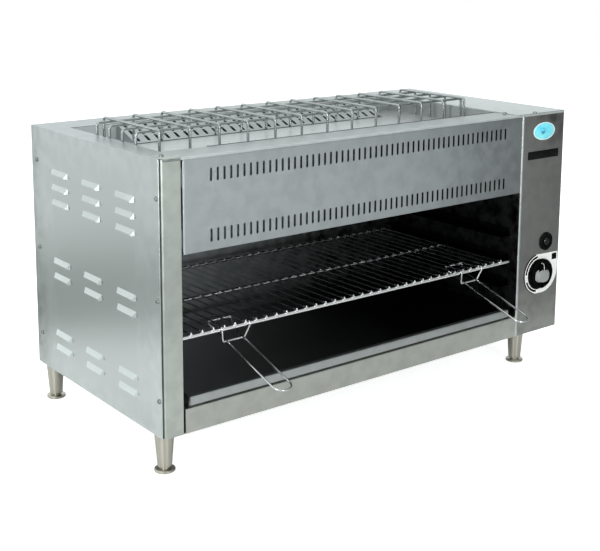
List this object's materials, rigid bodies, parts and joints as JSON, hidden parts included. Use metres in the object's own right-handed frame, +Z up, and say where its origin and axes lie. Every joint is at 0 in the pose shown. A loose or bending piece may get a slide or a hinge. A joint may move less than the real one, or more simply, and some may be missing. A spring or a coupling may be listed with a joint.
{
  "type": "cheese melter",
  "caption": "Countertop cheese melter with a slotted hood, wire shelf on runners, drip tray, wire guard on top, heat knob and round legs.",
  "frame": {"origin": "centre of the bounding box at the level the feet stand on", "axes": "+X to the right seen from the front, +Y from the front to the back, +Z up"},
  "size_m": [0.91, 0.576, 0.5167],
  "materials": {
    "side_steel": "fine vertical brush",
    "frame_steel": "satin",
    "hood_steel": "satin",
    "top_steel": "satin",
    "panel_steel": "satin",
    "rear_steel": "mill",
    "cavity_steel": "heat darkened",
    "insulation": "fibre blanket",
    "element_sheath": "oxidised",
    "ceramic_white": "glazed ceramic",
    "regulator_case": "moulded",
    "shaft_brass": "machined",
    "knob_plastic": "moulded",
    "bezel_foil": "printed plate",
    "black_plastic": "moulded",
    "lamp_lens": "tinted lens",
    "wire_sleeve": "glass sleeve",
    "leg_metal": "turned",
    "fasteners": "bright",
    "tray_steel": "satin",
    "chrome_wire": "bright",
    "guard_wire": "satin wire"
  },
  "bodies": {
    "cabinet": {"left_side_panel": "side_steel", "right_side_panel": "side_steel", "back_panel": "rear_steel", "base_pan": "rear_steel", "left_front_post": "frame_steel", "bottom_front_rail": "frame_steel", "top_hood": "hood_steel", "vent_well": "top_steel", "vent_cover": "top_steel", "control_panel": "panel_steel", "control_top": "top_steel", "partition": "cavity_steel", "cavity_left_wall": "cavity_steel", "cavity_back_wall": "cavity_steel", "cavity_floor": "cavity_steel", "reflector": "cavity_steel", "insulation_blanket": "insulation", "left_runners": "cavity_steel", "right_runners": "cavity_steel", "tray_guides": "cavity_steel", "heating_elements": "element_sheath", "element_supports": "cavity_steel", "element_bushings": "ceramic_white", "energy_regulator": "regulator_case", "knob_bezel": "bezel_foil", "pilot_bezel": "black_plastic", "pilot_lens": "lamp_lens", "terminal_block": "ceramic_white", "wiring_harness": "wire_sleeve", "cable_gland": "black_plastic", "leg_front_left": "leg_metal", "leg_front_right": "leg_metal", "leg_rear_left": "leg_metal", "leg_rear_right": "leg_metal", "leg_bolts": "fasteners", "panel_screws": "fasteners"},
    "control_knob": {"control_knob": "knob_plastic", "regulator_shaft": "shaft_brass"},
    "shelf": {"shelf_rods": "chrome_wire", "shelf_wires": "chrome_wire"},
    "handle_left": {"handle_grip_left": "chrome_wire", "handle_hook_left": "chrome_wire"},
    "handle_right": {"handle_grip_right": "chrome_wire", "handle_hook_right": "chrome_wire"},
    "drip_tray": {"drip_tray": "tray_steel"},
    "top_guard": {"guard_cross_wires": "guard_wire", "guard_long_wires": "guard_wire"},
    "foot_front_left": {"foot_front_left": "leg_metal"},
    "foot_front_right": {"foot_front_right": "leg_metal"},
    "foot_rear_left": {"foot_rear_left": "leg_metal"},
    "foot_rear_right": {"foot_rear_right": "leg_metal"}
  },
  "joints": [
    {"name": "shelf_slide", "type": "slide", "parent": "cabinet", "child": "shelf", "axis": [0, -1, 0], "range_m": [0, 0.25]},
    {"name": "handle_left_tilt", "type": "hinge", "parent": "shelf", "child": "handle_left", "pos_m": [-0.31222, -0.15, 0.211], "axis": [-1, 0, 0], "range_deg": [0, 45]},
    {"name": "handle_right_tilt", "type": "hinge", "parent": "shelf", "child": "handle_right", "pos_m": [0.2148, -0.15, 0.211], "axis": [-1, 0, 0], "range_deg": [0, 45]},
    {"name": "tray_slide", "type": "slide", "parent": "cabinet", "child": "drip_tray", "axis": [0, -1, 0], "range_m": [0, 0.3]},
    {"name": "knob_turn", "type": "hinge", "parent": "cabinet", "child": "control_knob", "pos_m": [0.3985, -0.172, 0.178], "axis": [0, -1, 0], "continuous": true},
    {"name": "guard_lift", "type": "slide", "parent": "cabinet", "child": "top_guard", "axis": [0, 0, 1], "range_m": [0, 0.15]},
    {"name": "foot_front_left_adjust", "type": "slide", "parent": "cabinet", "child": "foot_front_left", "axis": [0, 0, -1], "range_m": [0, 0.015]},
    {"name": "foot_front_right_adjust", "type": "slide", "parent": "cabinet", "child": "foot_front_right", "axis": [0, 0, -1], "range_m": [0, 0.015]},
    {"name": "foot_rear_left_adjust", "type": "slide", "parent": "cabinet", "child": "foot_rear_left", "axis": [0, 0, -1], "range_m": [0, 0.015]},
    {"name": "foot_rear_right_adjust", "type": "slide", "parent": "cabinet", "child": "foot_rear_right", "axis": [0, 0, -1], "range_m": [0, 0.015]}
  ]
}
